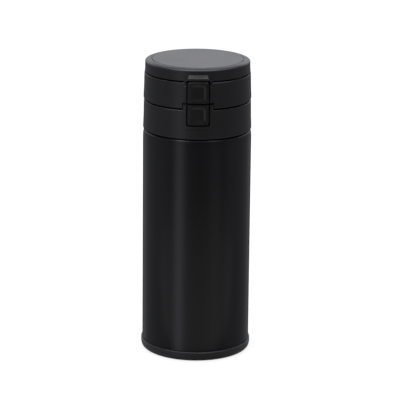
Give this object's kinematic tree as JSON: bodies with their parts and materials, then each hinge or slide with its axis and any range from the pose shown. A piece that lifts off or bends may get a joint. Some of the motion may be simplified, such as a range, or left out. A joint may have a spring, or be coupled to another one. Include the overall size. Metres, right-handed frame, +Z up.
{
  "type": "vacuum flask",
  "caption": "Slim vacuum flask with a two-stage push-button cap: a thin lid over a drinking spout, on a middle section that opens the wide mouth.",
  "frame": {"origin": "centre of the underside, on the surface the flask stands on", "axes": "+Z up the flask, -Y towards the push buttons, +Y towards the hinges, +X to the right seen from the buttons"},
  "size_m": [0.0674, 0.0674, 0.1823],
  "materials": {
    "body_paint": "fine matt black powder coat",
    "steel": "electropolished stainless steel",
    "copper_foil": "bright copper foil",
    "getter_metal": "sintered metal",
    "cap_plastic": "fine spark texture",
    "lid_plastic": "fine spark texture",
    "button_plastic": "satin",
    "inner_plastic": "satin food-grade plastic",
    "base_rubber": "soft-touch",
    "silicone": "translucent grey silicone",
    "spring_steel": "drawn wire"
  },
  "bodies": {
    "flask": {"outer_shell": "body_paint", "inner_vessel": "steel", "shell_bottom": "steel", "vacuum_plug": "steel", "radiation_foil": "copper_foil", "getter": "getter_metal", "base_cap": "base_rubber", "base_pad": "silicone"},
    "cap_seat": {"collar_seal": "silicone"},
    "cap": {"collar": "cap_plastic", "collar_core": "inner_plastic", "lower_button_spring": "spring_steel", "lower_hinge_pin": "steel", "lower_hinge_spring": "spring_steel"},
    "lower_button": {"lower_button": "button_plastic"},
    "middle_section": {"middle_section": "cap_plastic", "mouthpiece": "inner_plastic", "mouth_seal": "silicone", "upper_button_spring": "spring_steel", "upper_hinge_pin": "steel", "upper_hinge_spring": "spring_steel"},
    "upper_button": {"upper_button": "button_plastic"},
    "lid": {"lid_shell": "lid_plastic", "lid_top": "lid_plastic", "lid_liner": "inner_plastic", "spout_seal": "silicone"}
  },
  "joints": [
    {"name": "cap_rise", "type": "slide", "parent": "flask", "child": "cap_seat", "axis": [0, 0, 1], "range_m": [0, 0.007]},
    {"name": "cap_turn", "type": "hinge", "parent": "cap_seat", "child": "cap", "pos_m": [0, 0, 0.15], "axis": [0, 0, 1], "range_deg": [0, 630]},
    {"name": "middle_open", "type": "hinge", "parent": "cap", "child": "middle_section", "pos_m": [0, 0.03083, 0.15474], "axis": [-1, 0, 0], "range_deg": [0, 110], "deforming": ["lower_hinge_spring"]},
    {"name": "lid_open", "type": "hinge", "parent": "middle_section", "child": "lid", "pos_m": [0, 0.03055, 0.1715], "axis": [-1, 0, 0], "range_deg": [0, 110], "deforming": ["upper_hinge_spring"]},
    {"name": "lower_button_press", "type": "slide", "parent": "cap", "child": "lower_button", "axis": [0, 1, 0], "range_m": [0, 0.001], "stiffness_N_per_m": 3000, "springref_m": -0.001, "deforming": ["lower_button_spring"]},
    {"name": "upper_button_press", "type": "slide", "parent": "middle_section", "child": "upper_button", "axis": [0, 1, 0], "range_m": [0, 0.001], "stiffness_N_per_m": 3000, "springref_m": -0.001, "deforming": ["upper_button_spring"]}
  ],
  "couplings": [
    {"joint": "cap_rise", "follows": "cap_turn", "m_per_rad": 0.00063662}
  ]
}
